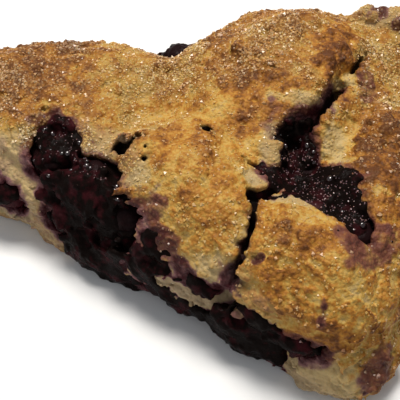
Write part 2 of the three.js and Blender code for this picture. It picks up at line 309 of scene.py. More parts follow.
def topHeight(x, y):
    # how high the pillows stand over each place
    height = np.zeros(np.broadcast(x, y).shape, np.float32)
    for p in pillows:
        spread = ((x - p["x"]) / p["rx"]) ** 2 + ((y - p["y"]) / p["ry"]) ** 2
        height = smoothMax(height, p["top"] - p["drop"] * spread, dough["pillowBlend"])
    return height


def outlineDistance(x, y):
    # distance from the wedge's outline in plan
    sin, cos = math.sin(dough["halfAngle"]), math.cos(dough["halfAngle"])
    turnSin, turnCos = math.sin(dough["turn"]), math.cos(dough["turn"])
    along = (x - dough["apexX"]) * turnCos + y * turnSin
    aside = np.abs(y * turnCos - (x - dough["apexX"]) * turnSin)
    pastTip = along - dough["tipRound"] / sin
    cut = np.where(pastTip * cos + aside * sin < 0, np.hypot(pastTip, aside), aside * cos - pastTip * sin)
    outer = np.hypot(along, aside) - dough["radius"]
    return roundedOverlap(dough["cornerRound"], cut - dough["tipRound"], outer)


def routeDistance(axes, route, shut=1):
    # distance from the nearest stretch of a route, less the width there
    dim = len(route[0]) - 1
    nearest = None
    for a, b in zip(route[:-1], route[1:]):
        span = sum((b[m] - a[m]) ** 2 for m in range(dim))
        s = np.clip(sum((axes[m] - a[m]) * (b[m] - a[m]) for m in range(dim)) / span, 0, 1)
        off = np.sqrt(sum((axes[m] - a[m] - s * (b[m] - a[m])) ** 2 for m in range(dim)))
        off = off - shut * (a[dim] + s * (b[dim] - a[dim]))
        nearest = off if nearest is None else np.minimum(nearest, off)
    return nearest


def wholeDough(x, y, z, top):
    # the wedge before anything burst or cracked, and where its face is a side and not the top
    rise = (z - dough["bellyHeight"]) / dough["bellyHeight"]
    bulge = dough["belly"] * np.maximum(1 - rise * rise, -1)
    side = outlineDistance(x, y) + dough["sideLean"] * z - bulge
    lid = (z - top) * dough["lidScale"]
    d = roundedOverlap(dough["rimRound"], side, lid)
    for at, r, soft in swells:
        d = smoothMin(d, ellipsoidDistance(x, y, z, at, r), soft)
    for crag in crags:
        d = d - crag["height"] * softNoise(x / crag["wave"], y / crag["wave"], z / crag["wave"])
    return d, smoothStep(*dough["sideRange"], side - lid)


def carveCracks(d, x, y, z, top):
    # takes the cracks, clefts and hollows out of the wedge and adds the knobs
    for crack in cracks:
        floor = top - crack["depth"]
        opened = np.sqrt(np.clip((z - floor) / crack["depth"], 0, 1))
        wall = np.maximum(routeDistance((x, y), crack["route"], opened), floor - z)
        d = smoothMax(d, -wall, crack["soft"])
    for cleft in clefts:
        d = smoothMax(d, -routeDistance((x, y, z), cleft["route"]), cleft["soft"])
    for at, r, soft in hollows:
        d = smoothMax(d, -ellipsoidDistance(x, y, z, at, r), soft)
    for at, r in knobs:
        d = smoothMin(d, ellipsoidDistance(x, y, z, at, r), dough["knobBlend"])
    return d


def crumbRelief(x, y, z, side):
    # rounded crumbs on top, drawn out into level layers on the torn sides
    layered = z * (1 + crumbs["layered"] * side)
    total = 0
    for n, size in enumerate(crumbs["sizes"]):
        noise = creasedNoise if size["rounded"] else turnedNoise
        total = total + size["height"] * noise(x, y, layered, size["wave"], 3.1 * n)
    return total * (1 + crumbs["torn"] * side)


def boxBlur(grid, reach):
    # the mean over a cube that reaches so many cells each way
    for axis in range(3):
        padded = np.concatenate([np.take(grid, [0] * (reach + 1), axis), grid,
                                 np.take(grid, [-1] * reach, axis)], axis)
        total = np.cumsum(padded, axis=axis, dtype=np.float64)
        n = grid.shape[axis]
        high = np.take(total, range(2 * reach + 1, n + 2 * reach + 1), axis)
        low = np.take(total, range(0, n), axis)
        grid = ((high - low) / (2 * reach + 1)).astype(np.float32)
    return grid


def sampleGrid(grid, points):
    # the grid's value at points in space, by straight-line mixing
    q = (points - np.array(dough["low"])) / dough["voxel"]
    q = np.clip(q, 0, np.array(grid.shape) - 1.001)
    i = np.floor(q).astype(int)
    t = q - i
    total = 0
    for c in range(8):
        step = np.array([c & 1, (c >> 1) & 1, c >> 2])
        share = np.prod(np.where(step, t, 1 - t), axis=1)
        total = total + share * grid[tuple((i + step).T)]
    return total


berryNodes = sorted(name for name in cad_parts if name.startswith("berry"))


def berryBoxes():
    # centre and radii of each berry, in millimetres, from the frame
    found = {}
    for name in berryNodes:
        low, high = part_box(name)
        found[name] = ((low + high) / 2 / mm, (high - low) / 2 / mm)
    return found


berryAt = berryBoxes()


def berryDistance(x, y, z):
    nearest = None
    for at, r in berryAt.values():
        away = ellipsoidDistance(x, y, z, at, r)
        nearest = away if nearest is None else np.minimum(nearest, away)
    return nearest


def modelDough():
    # the dough on a grid of distances, negative inside
    axes = [np.arange(low, high, dough["voxel"], dtype=np.float32)
            for low, high in zip(dough["low"], dough["high"])]
    x, y, z = axes[0][:, None, None], axes[1][None, :, None], axes[2][None, None, :]
    top = topHeight(x, y)
    whole, side = wholeDough(x, y, z, top)
    fruit = berryDistance(x, y, z)
    plain = carveCracks(whole, x, y, z, top)
    plain = smoothMax(plain, dough["socketGap"] - fruit, dough["socketRound"])   # berries sit in these

    near = np.nonzero(np.abs(plain) < dough["reliefReach"])
    p = [axis[index] for axis, index in zip(axes, near)]
    pores = np.maximum(turnedNoise(*p, crumbs["poreWave"], 8.0) - crumbs["poreStart"], 0)
    relief = pores * crumbs["poreDepth"] - crumbRelief(*p, side[near])
    drowned = smoothStep(*crumbs["jamRange"], jamThickness(np.stack(p, 1)))
    fine = plain.copy()
    fine[near] += relief * (1 - crumbs["jamSmooths"] * drowned)
    fine = roundedOverlap(dough["baseRound"], fine, -z).astype(np.float32)   # baked flat underneath
    return {"axes": axes, "whole": whole, "side": side, "fruit": fruit, "plain": plain, "fine": fine}


def largestBody(points, triangles):
    # drops loose scraps: every vertex takes the lowest number that it can reach
    label = np.arange(len(points))
    edges = np.concatenate([triangles[:, [0, 1]], triangles[:, [1, 2]], triangles[:, [2, 0]]])
    while True:
        lowest = label.copy()
        np.minimum.at(lowest, edges[:, 0], label[edges[:, 1]])
        np.minimum.at(lowest, edges[:, 1], label[edges[:, 0]])
        lowest = lowest[lowest]
        if np.array_equal(lowest, label):
            break
        label = lowest
    keep = label == np.bincount(label).argmax()
    renumber = np.cumsum(keep) - 1
    return points[keep], renumber[triangles[keep[triangles[:, 0]]]]


def skinOf(grid):
    # the surface where a grid of distances passes zero
    volume = openvdb.FloatGrid(background=farOutside)
    volume.copyFromArray(np.ascontiguousarray(grid, np.float32))
    points, quads = volume.convertToQuads(isovalue=0.0)[:2]
    triangles = np.concatenate([quads[:, [0, 1, 2]], quads[:, [0, 2, 3]]]).astype(np.int64)
    return points * dough["voxel"] + np.array(dough["low"]), triangles


def meshFrom(name, points, faces, smooth=True):
    # an object in the scene, from points in millimetres
    made = bpy.data.meshes.new(name)
    made.from_pydata((points * mm).tolist(), [], faces.tolist())
    made.update()
    if smooth:
        made.shade_smooth()
    piece = bpy.data.objects.new(name, made)
    bpy.context.scene.collection.objects.link(piece)
    return piece


def paint(piece, name, values):
    # a value from 0 to 1 at each point, which the piece's material reads by its name
    layer = piece.data.attributes.new(name, "FLOAT", "POINT")
    layer.data.foreach_set("value", np.ascontiguousarray(np.clip(values, 0, 1), np.float32))


# where the oven and the fruit coloured the dough
# every spot from here on is its centre, its radii and its strength

# baked darker
bakedSpots = [
    ((34, 19, 33), (5, 11, 6), 0.3),      # right side of the high hump
    ((-36, 4, 24), (20, 17, 9), 0.4),     # the tip
    ((20, 22, 32), (18, 14, 8), 0.27),
    ((22, 5, 31), (10, 7, 5), 0.32),
    ((38, -40, 22), (10, 6, 6), 0.14),
    ((18.8, -4.2, 31), (3.8, 4, 4), 0.28),
    ((4.3, -11, 28), (2.4, 6, 4), 0.25),
    ((36, -31.2, 30), (8, 2.8, 4), 0.38),  # band over the front dome
    ((49, -3, 31), (8, 15, 6), 0.42),      # towards the outer edge
    ((51, -20, 31), (5, 6, 5), 0.25),
    ((44, -45, 19), (4, 4, 5), 0.34),
    ((-26, 15.5, 25), (4, 3.5, 4), 0.5),
    ((-37, 10, 25), (11, 5, 6), 0.38),     # far rim of the tip
    ((54, -43, 20), (5, 5, 6), 0.35),
    ((61, 0, 16), (7, 38, 15), 0.3),       # the outer edge
]

# baked less
paleSpots = [
    ((-10, -12.9, 27), (4, 4.5, 4), 0.2),
    ((-8, -15.8, 24.5), (7, 3, 3), 0.5),
    ((26.1, -9.5, 30), (2.6, 6, 5), 0.45),
    ((30.9, 2.9, 31), (7, 2.4, 4), 0.4),
    ((38.5, -5.1, 30), (3.2, 5, 5), 0.5),
    ((32.5, -19.9, 29), (6, 2.6, 5), 0.45),
    ((-28, -15.8, 22), (9, 5, 8), 0.4),
    ((24.6, -17.4, 26), (3.4, 3, 4), 0.5),
    ((24.2, -32.3, 27), (3, 6, 5), 0.25),
    ((18.7, -37.5, 22), (7, 4, 6), 0.25),
    ((30, -42, 14), (8, 4, 4), 0.3),
    ((50, -40, 24), (7, 7, 7), 0.16),
    ((2, -20.6, 26), (3.4, 3.4, 4), 0.45),
    ((44, 38, 31), (7, 5, 5), 0.3),
    ((38.8, 12.8, 29), (2.6, 2, 3), 0.6),
]

# hardly baked, greyish dough beside the fruit
greySpots = [
    ((-11, -11.5, 27), (9, 4, 4), 0.8),
    ((-8, -15.6, 24.5), (7, 3, 3), 0.9),
    ((-1, -19, 26), (4, 4.5, 5), 0.7),
    ((26.3, -8.6, 30), (2.6, 5, 5), 0.7),
    ((30.9, 2.9, 31), (6, 2, 4), 0.6),
    ((24.6, -17.4, 26), (3, 3, 4), 0.6),
    ((31.5, -19.4, 29), (6, 2.4, 4), 0.7),
    ((21, -37, 20), (6, 4, 6), 0.6),
    ((28, -41, 17), (6, 4, 5), 0.5),
    ((43, 37, 30), (7, 5, 5), 0.7),
]

# stained by juice
stains = [
    ((48.7, -28.5, 28), (6.5, 6, 6), 0.6),
    ((43, 11, 31), (2, 5, 4), 0.5),
    ((56, 0, 30), (4, 6, 5), 0.3),
    ((41.8, -43.4, 23), (1.1, 2.6, 4.4), 0.9),
    ((54.5, -43.8, 8), (4.5, 5, 5.5), 0.62),
    ((43.5, 37, 29), (3.4, 3, 4), 0.8),
    ((41, 35.4, 30), (1.8, 1.4, 2.4), 0.8),
    ((47.5, 34.6, 30), (1.5, 1.5, 2.4), 0.8),
    ((38, 7, 27), (3.4, 5, 4), 0.8),
    ((-20.5, -9.8, 26), (5.6, 2.6, 3), 0.95),  # smear over the bay's far edge
    ((-3.2, -14, 22), (3.6, 2.4, 4), 1.0),
    ((31, 1.6, 27), (7, 3.4, 5), 0.95),
    ((-27, -19, 15), (11, 6, 10), 0.28),
    ((-20, -23.5, 5), (7, 4, 8), 0.3),
    ((3.8, -25.8, 21), (4.4, 5, 7), 0.7),
    ((9.5, -30, 20), (5.5, 3.4, 3.4), 0.9),
    ((14.5, -32.5, 17), (5.5, 3.6, 3), 0.9),
    ((27, -15, 26), (3.4, 3, 5), 0.8),
    ((28.2, -34.7, 26), (1.3, 1, 2), 0.8),
    ((26.2, -40, 13), (2.4, 3, 2.4), 0.4),
    ((-37.7, 9.1, 25), (1.8, 1.4, 2), 0.6),
    ((-14, 25, 12), (16, 5, 8), 0.35),
    ((22, 41, 14), (14, 5, 9), 0.4),
    ((61, 20, 12), (4, 9, 6), 0.5),
]

# holes whose inside is painted darker with depth: painted shade
paintedShadePlaces = [
    ((-3.2, -13.2, 24), (5.2, 3.6, 6), 1.0),
    ((11.8, -7.3, 28), (3, 3, 6), 1.0),
    ((1.2, -15.3, 26), (2.5, 3, 5), 1.0),
    ((36.6, 7.5, 25), (4, 4.4, 6), 0.9),
    ((40.6, 18.6, 26), (2.6, 3.6, 7), 0.9),
    ((29.4, -4.4, 23), (5.5, 6.5, 9), 1.0),
    ((25, -19, 22), (4, 7, 7), 1.0),
    ((25, -31, 22), (3, 8, 7), 0.8),
]

# where the crust tore away and shows the crumb
tornPlaces = [
    ((-31, -19, 14), (14, 6, 13), 1.0),
    ((42, -46, 5), (10, 5, 7), 0.9),
    ((15, -35.5, 11.5), (8, 3, 4), 1.0),
    ((3.4, -26, 20), (3.6, 4.5, 5), 0.9),
    ((25, -40, 14), (6, 3, 3), 0.6),
]

# where the crust stays brown right into a crack
closedPlaces = [
    ((39, 14, 28), (3, 12, 12), 1.0),
    ((50, -28.5, 28), (6.5, 5, 6), 1.0),
]

# walls of torn dough that fruit stained
rimPlaces = [
    ((30, -2, 26), (8, 9, 9), 0.8),
    ((27, -15, 26), (5, 5, 6), 0.8),
    ((41, -17, 26), (10, 10, 7), 0.75),
    ((25.4, -27, 26), (2.5, 9, 7), 0.8),
    ((23, -36, 23), (3, 6, 9), 0.7),
    ((37, 6.5, 28), (4.5, 4.5, 7), 0.8),
    ((-14, -18.5, 22), (13, 9, 9), 0.7),
    ((-0.5, -22.5, 21), (5, 5, 7), 0.6),
]

# where the sugar lies thickest
frostedSpots = [
    ((-11, -11.5, 27), (9, 4, 4), 1.0),
    ((31, 3.5, 31), (7, 4, 4), 0.5),
    ((32, -22, 29), (8, 4, 4), 0.35),
]

# where there is hardly any sugar
smoothSpots = [
    ((42, 36.5, 30.5), (6, 4, 4), 0.5),
    ((35, 18, 33), (5.5, 11, 6), 0.9),
    ((-28, -18, 17), (9, 5, 7), 0.8),
    ((38, 10, 28), (4, 8, 5), 0.8),
    ((50, -38, 26), (10, 10, 9), 0.6),
    ((50, -29, 30), (7, 7, 5), 0.7),
]


def spotted(points, spots, ragged=0.35):
    # the strongest of a list of soft spots at each point
    x, y, z = points.T
    wobble = 1 + ragged * (turnedNoise(x, y, z, 3.2, 5.0) + 0.6 * turnedNoise(x, y, z, 1.4, 9.0))
    total = np.zeros(len(points), np.float32)
    for at, r, strength in spots:
        away = np.sqrt(sum(((points[:, m] - at[m]) / r[m]) ** 2 for m in range(3)))
        total = np.maximum(total, strength * smoothStep(1.25, 0.75, away * wobble))
    return total


# jam that ran out of the berries and pooled round them

jam = {
    "blend": 4.0,           # how it fills the nooks between berries and dough
    "margin": 1.7,          # what it loses everywhere, so that it thins out to ragged edges
    "lumpWave": 2.6,
    "lumpHeight": 0.55,
    "pulpWave": 1.3,
    "pulpHeight": 0.34,
    "shell": 1.0,           # how far it reaches under what it lies on
    "reach": 2.4,           # how far from its surface it is worked out
    "tableGap": 0.05,
    "triangles": 90000,
}

# where it ran, and how thick
jamPools = [
    ((-18.8, -12.6, 23), (5.6, 5.8, 5), 2.5),
    ((-8, -21, 16), (12, 8, 10.5), 2.5),
    ((-4, -27, 7), (14, 6, 10), 2.4),
    ((-4.5, -24.5, 12), (5, 4, 5), 3.5),
    ((8, -31, 13), (7, 4.5, 8), 2.3),
    ((15, -38, 15), (8, 3, 3.5), 2.1),
    ((28, -40, 7), (10.5, 5.5, 10), 2.6),
    ((38, -42, 12), (4.4, 3.4, 2.8), 2.2),
    ((30.5, -3.5, 21), (6.4, 7.5, 8.5), 2.5),
    ((39, -17, 22.5), (11, 10, 7), 2.4),
    ((44.6, -22.8, 23), (4.4, 4.4, 4.4), 2.3),
    ((15, -34, 4.5), (7, 5, 6), 2.4),
    ((27, -14, 23), (4.5, 4, 4.5), 2.3),
    ((25, -19, 21), (3, 6, 6), 2.1),
    ((-32, -19, 12), (6, 4, 3), 1.95),       # beside the tip
    ((-21, 23, 8), (11, 4, 6.5), 2.3),       # the side away from the photo
    ((-32, 19, 14), (5, 4, 3), 2.1),
    ((1, 25, 18.5), (8, 4.5, 4.5), 2.2),
    ((16, 39, 9), (12, 4.5, 8), 2.35),
    ((27, 42, 16), (6, 4, 4), 2.2),
    ((60, 13, 9), (4, 10, 6), 2.2),          # the outer edge
]

# places that the jam left bare
bareSpots = [
    ((12, -34.6, 12.2), (4.4, 3, 1.6), 2.5),        # the torn flap
    ((17.6, -36, 10.4), (4.4, 3, 1.6), 2.5),
    ((26.2, -40.5, 13), (2, 3, 2), 2.5),
    ((2.5, -20.8, 26), (3, 3.4, 4), 2.0),
    ((33, -23, 29.5), (8, 3.6, 3), 2.0),
]


def jamThickness(points):
    # below zero where there is none
    return spotted(points, jamPools, 0.3) - spotted(points, bareSpots, 0.2) - jam["margin"]


def thinOut(piece, most):
    # collapses the flattest faces until the piece has at most so many triangles
    modifier = piece.modifiers.new("thinOut", "DECIMATE")
    modifier.ratio = min(1.0, most / len(piece.data.polygons))
    modifier.use_collapse_triangulate = True
    made = bpy.data.meshes.new_from_object(piece.evaluated_get(bpy.context.evaluated_depsgraph_get()))
    piece.modifiers.clear()
    piece.data = made
    print(piece.name + ":", len(made.polygons), "triangles")


def surfaceOf(piece):
    # a piece's points in millimetres, its triangles and its normals, for painting and sugaring
    points = np.empty(len(piece.data.vertices) * 3, np.float32)
    piece.data.vertices.foreach_get("co", points)
    triangles = np.empty(len(piece.data.polygons) * 3, np.int32)
    piece.data.polygons.foreach_get("vertices", triangles)
    normals = np.empty(len(points), np.float32)
    piece.data.vertex_normals.foreach_get("vector", normals)
    return {"points": points.reshape(-1, 3) / mm, "triangles": triangles.reshape(-1, 3),
            "normals": normals.reshape(-1, 3)}


# how the dough's colour and its sugar vary; a pair is where a change starts and where it is done
baking = {
    "mottle": [(8.0, 0.5, 1.0), (3.4, 0.35, 2.0), (1.7, 0.18, 4.0)],   # wave, share and shift
    "hollowReach": 5,               # grid cells, for telling hollows from bumps
    "nookReach": 2,
    "tornDepth": (0.6, 2.2),        # under the uncracked crust
    "tornMottle": 0.7,
    "sideFace": (0.35, 0.75),       # from top to side
    "sideSplit": 24,                # the cut side is pale up to a height on each side of this x
    "sideHeights": (25.0, 13.0),
    "sideSlope": 0.2,
    "sideFade": 8,
    "sideEnd": (58, 50),            # the outer edge isn't pale
    "brown": 0.44,                  # of plain crust
    "brownMottle": 0.34,
    "hollowPales": 0.9,
    "nookPales": 0.7,
    "sidePales": 0.3,
    "tornPales": 0.8,
    "underside": 0.6,
    "undersideRise": (2.2, 0.2),
    "juiceReach": (3.0, 0.6),       # from a berry
    "juiceMottle": 1.1,
    "soakReach": (-1.0, -0.1),      # thickness of the jam
    "soakMottle": 0.25,
    "crustSoaks": 0.6,              # how much of that whole crust takes up
    "rimDepth": (-0.8, 1.5),
    "rimMottle": 0.4,
    # depth under the uncracked crust where the painted shade in holes starts and where it is full
    "holeDepth": (-0.1, 0.8),
    "leastFrost": 0.3,
    "frostToTip": (8, -14),
    "frostToBack": (2, 14),
    "clumpWave": 4.5,
    "clumps": (-0.35, 0.5),
    "betweenClumps": 0.35,
}


def makeDough(model):
    piece = meshFrom("sconeDough", *largestBody(*skinOf(model["fine"])))
    thinOut(piece, dough["triangles"])
    surface = surfaceOf(piece)
    points = surface["points"]
    x, y, z = points.T
    filled = (model["fine"] < 0).astype(np.float32)
    hollow = sampleGrid(boxBlur(filled, baking["hollowReach"]), points) - 0.5    # 0 on a flat face
    nook = sampleGrid(boxBlur(filled, baking["nookReach"]), points) - 0.5
    inside = -sampleGrid(model["whole"], points)                 # how deep under the uncracked crust
    fruit = sampleGrid(model["fruit"], points)
    side = sampleGrid(model["side"], points)
    mottle = 0
    for wave, share, shift in baking["mottle"]:
        mottle = mottle + share * turnedNoise(x, y, z, wave, shift)

    torn = smoothStep(*baking["tornDepth"], inside + baking["tornMottle"] * mottle)
    torn = torn * (1 - spotted(points, closedPlaces, 0.1))
    torn = np.maximum(torn, spotted(points, tornPlaces))
    left, right = baking["sideHeights"]
    upTo = np.where(x > baking["sideSplit"], right, left)
    upTo = upTo - baking["sideSlope"] * np.abs(x - baking["sideSplit"])
    pale = smoothStep(*baking["sideFace"], side) * smoothStep(0, -baking["sideFade"], z - upTo)
    pale = pale * smoothStep(*baking["sideEnd"], x)

    brown = baking["brown"] + baking["brownMottle"] * mottle
    brown = brown + spotted(points, bakedSpots) - spotted(points, paleSpots)
    brown = brown - baking["hollowPales"] * hollow - baking["nookPales"] * nook
    brown = (brown - baking["sidePales"] * pale) * (1 - baking["tornPales"] * torn)
    brown = np.maximum(brown, baking["underside"] * smoothStep(*baking["undersideRise"], z + mottle))

    juice = smoothStep(*baking["juiceReach"], fruit + baking["juiceMottle"] * mottle)
    soaked = smoothStep(*baking["soakReach"], jamThickness(points) + baking["soakMottle"] * mottle)
    soaked = soaked * np.maximum(np.maximum(torn, pale), baking["crustSoaks"])
    rims = smoothStep(*baking["rimDepth"], inside + baking["rimMottle"] * mottle)
    rims = rims * spotted(points, rimPlaces, 0.2)
    stain = np.maximum(np.maximum(spotted(points, stains), juice), np.maximum(soaked, rims))
    # painted shade: near-black colour deep inside the listed holes and cracks
    deep = smoothStep(*baking["holeDepth"], inside) * spotted(points, paintedShadePlaces, 0.1)

    # sugar thickness, highest at the tip and the back; the crust darkens by it, partly caramel and partly
    # painted shade
    frostAndShade = smoothStep(*baking["frostToTip"], x) + smoothStep(*baking["frostToBack"], y)
    frostAndShade = baking["leastFrost"] + (1 - baking["leastFrost"]) * np.minimum(frostAndShade, 1)
    frostAndShade = np.maximum(frostAndShade, spotted(points, frostedSpots)) * (1 - spotted(points, smoothSpots))
    clumps = smoothStep(*baking["clumps"], turnedNoise(x, y, z, baking["clumpWave"], 11.0))
    clumps = baking["betweenClumps"] + (1 - baking["betweenClumps"]) * clumps
    frostAndShade = frostAndShade * clumps * (1 - torn) * (1 - pale)
    pale = np.maximum(pale, spotted(points, greySpots))

    painted = {"brown": brown, "open": torn, "side": pale, "stain": stain, "deep": deep, "frostAndShade": frostAndShade}
    for name, values in painted.items():
        paint(piece, name, values)
    return piece, {**surface, **painted}


def makeJam(model):
    hugging = smoothMin(model["plain"], model["fruit"], jam["blend"])
    near = np.nonzero(np.abs(hugging) < jam["reach"])
    points = np.stack([axis[index] for axis, index in zip(model["axes"], near)], 1)
    thick = jamThickness(points)
    x, y, z = points.T
    lumps = jam["lumpHeight"] * turnedNoise(x, y, z, jam["lumpWave"], 12.0)
    pulp = jam["pulpHeight"] * creasedNoise(x, y, z, jam["pulpWave"], 14.0)
    film = np.maximum(hugging[near] - thick - lumps - pulp, -hugging[near] - jam["shell"])
    grid = np.full(hugging.shape, farOutside, np.float32)
    grid[near] = np.maximum(film, jam["tableGap"] - z)            # it stops at the table
    piece = meshFrom("jamInCracks", *skinOf(grid))
    thinOut(piece, jam["triangles"])
    surface = surfaceOf(piece)
    juicy = np.ones(len(surface["points"]))
    return piece, {**surface, "brown": 0 * juicy, "stain": juicy, "frostAndShade": juicy}


# materials

crustLook = {
    "cream": (0.50, 0.36, 0.155),
    "gold": (0.53, 0.325, 0.075),
    "orange": (0.42, 0.18, 0.026),
    "dark": (0.22, 0.078, 0.014),
    "burnt": (0.10, 0.033, 0.009),
    "torn": (0.48, 0.345, 0.16),        # torn dough inside
    "cutSide": (0.36, 0.26, 0.15),
    "frosted": (0.50, 0.305, 0.125),    # melted sugar on the crumbs' tops
    "meltAndShade": (0.10, 0.038, 0.008),       # and dark caramel in the crust round it, partly painted shade over the tip and the back
    "shade": (0.012, 0.005, 0.004),     # painted shade deep in holes
    "plum": (0.16, 0.055, 0.034),       # fruit juice baked into the crust
    "mauve": (0.20, 0.095, 0.095),      # and soaked into torn dough
    "wine": (0.050, 0.009, 0.012),
    "speckle": 0.13,        # how far the browning varies over a millimetre
    "patch": 0.16,          # and over a few
    "stainPatch": 0.35,
    "cutSideShare": 0.6,
    # how much the crust darkens where sugar lies: caramel, and partly painted shade
    "meltAndShadeShare": 0.72,
    "frostShare": 0.5,
    "gritWave": 0.8,
    "gritTops": (0.45, 0.8),
    "roughness": 0.55,
    "wetRoughness": 0.45,
    "frostSmooths": 0.25,
    "shine": 0.13,
    "glow": {"share": 0.12, "radius": (1.0, 0.5, 0.25), "reach": 1.0},  # light that soaks in
}

sugarLook = {
    "clear": (0.74, 0.55, 0.35),
    "clearOnJam": (0.26, 0.16, 0.165),
    "meltedOnJam": (0.22, 0.12, 0.13),
    "roughness": 0.3,
    "glow": {"share": 0.5, "radius": (1.0, 0.7, 0.4), "reach": 0.6},
}

jamLook = {
    "hazy": (0.090, 0.034, 0.036),
    "thin": (0.034, 0.006, 0.008),
    "thick": (0.006, 0.0035, 0.003),
    "roughness": (0.10, 0.36),      # wet and sticky
    "shine": 0.018,         # how strongly it mirrors the room
}

berryLook = {
    "skin": (0.006, 0.0035, 0.004),
    "plum": (0.011, 0.005, 0.005),
    "bloom": (0.036, 0.009, 0.011),
    "juice": (0.065, 0.008, 0.013),
    "roughness": (0.25, 0.5),
    "shine": 0.036,
}

beadLook = {
    "dark": (0.006, 0.0035, 0.003),
    "light": (0.020, 0.004, 0.006),
    "roughness": 0.15,
    "shine": 1.0,
}

tableLook = {
    "plain": (0.80, 0.80, 0.80),
    "light": (0.84, 0.84, 0.84),
    "roughness": 0.7,
}


class Nodes:
    # short words for building a material's node tree

    def __init__(self, name):
        self.material = bpy.data.materials.new(name)
        self.material.use_nodes = True
        self.tree = self.material.node_tree
        self.shader = self.tree.nodes["Principled BSDF"]
        self.place = self.add("ShaderNodeTexCoord", {}).outputs["Object"]

    def add(self, kind, inputs, **settings):
        # a new node; sockets are linked to its inputs, plain values are set as they are
        node = self.tree.nodes.new(kind)
        for name, value in settings.items():
            setattr(node, name, value)
        for name, value in inputs.items():
            self.set(node.inputs[name], value)
        return node

    def set(self, socket, value):
        if hasattr(value, "is_output"):
            self.tree.links.new(value, socket)
        elif hasattr(socket.default_value, "__len__") and len(value) == 3:
            socket.default_value = (*value, 1.0) if len(socket.default_value) == 4 else value
        else:
            socket.default_value = value

    def attribute(self, name):
        return self.add("ShaderNodeAttribute", {}, attribute_name=name).outputs["Fac"]

    def noise(self, wave, detail=2.0, roughness=0.5, shift=0.0):
        inputs = {"Vector": self.place, "Scale": 1 / (wave * mm), "Detail": detail, "Roughness": roughness}
        if shift:
            inputs["W"] = shift
        dimensions = "4D" if shift else "3D"
        return self.add("ShaderNodeTexNoise", inputs, noise_dimensions=dimensions).outputs["Fac"]

    def cells(self, wave):
        # rounded grains that touch, 1 at their tops
        inputs = {"Vector": self.place, "Scale": 1 / (wave * mm), "Smoothness": 0.25}
        node = self.add("ShaderNodeTexVoronoi", inputs, feature="SMOOTH_F1")
        return self.math("SUBTRACT", 1.0, node.outputs["Distance"])

    def math(self, operation, a, b, clamp=False):
        node = self.add("ShaderNodeMath", {0: a, 1: b}, operation=operation, use_clamp=clamp)
        return node.outputs[0]

    def mapRange(self, value, fromLow, fromHigh, toLow=0.0, toHigh=1.0):
        inputs = {"Value": value, "From Min": fromLow, "From Max": fromHigh,
                  "To Min": toLow, "To Max": toHigh}
        node = self.add("ShaderNodeMapRange", inputs, interpolation_type="SMOOTHSTEP")
        return node.outputs["Result"]

    def swing(self, noise, reach, middle=0.0):
        # a noise spread out to so much on each side of the middle
        return self.mapRange(noise, 0.3, 0.7, middle - reach, middle + reach)

    def mix(self, factor, a, b):
        inputs = {"Factor": factor, "A": a, "B": b}
        return self.add("ShaderNodeMix", inputs, data_type="RGBA").outputs["Result"]

    def ramp(self, value, stops):
        # colours along a value; the first two stops are the lowest and the highest
        node = self.add("ShaderNodeValToRGB", {"Fac": value})
        elements = node.color_ramp.elements
        for n, (where, colour) in enumerate(stops):
            stop = elements[n] if n < 2 else elements.new(where)
            stop.position = where
            stop.color = (*colour, 1.0)
        return node.outputs["Color"]

    def bump(self, height, distance, strength, normal=None):
        inputs = {"Height": height, "Distance": distance * mm, "Strength": strength}
        if normal is not None:
            inputs["Normal"] = normal
        return self.add("ShaderNodeBump", inputs).outputs["Normal"]

    def coat(self, colour, roughness, shine=None, normal=None, glow=None):
        # puts a look on the material's own shader
        inputs = self.shader.inputs
        self.set(inputs["Base Color"], colour)
        self.set(inputs["Roughness"], roughness)
        if shine is not None:
            inputs["Specular IOR Level"].default_value = shine
        if normal is not None:
            self.set(inputs["Normal"], normal)
        if glow is not None:
            inputs["Subsurface Weight"].default_value = glow["share"]
            inputs["Subsurface Radius"].default_value = glow["radius"]
            inputs["Subsurface Scale"].default_value = glow["reach"] * mm
        return self.material


def crustColour(n, brown):
    look = crustLook
    return n.ramp(brown, [(0.0, look["cream"]), (1.0, look["burnt"]), (0.34, look["gold"]),
                          (0.58, look["orange"]), (0.82, look["dark"])])


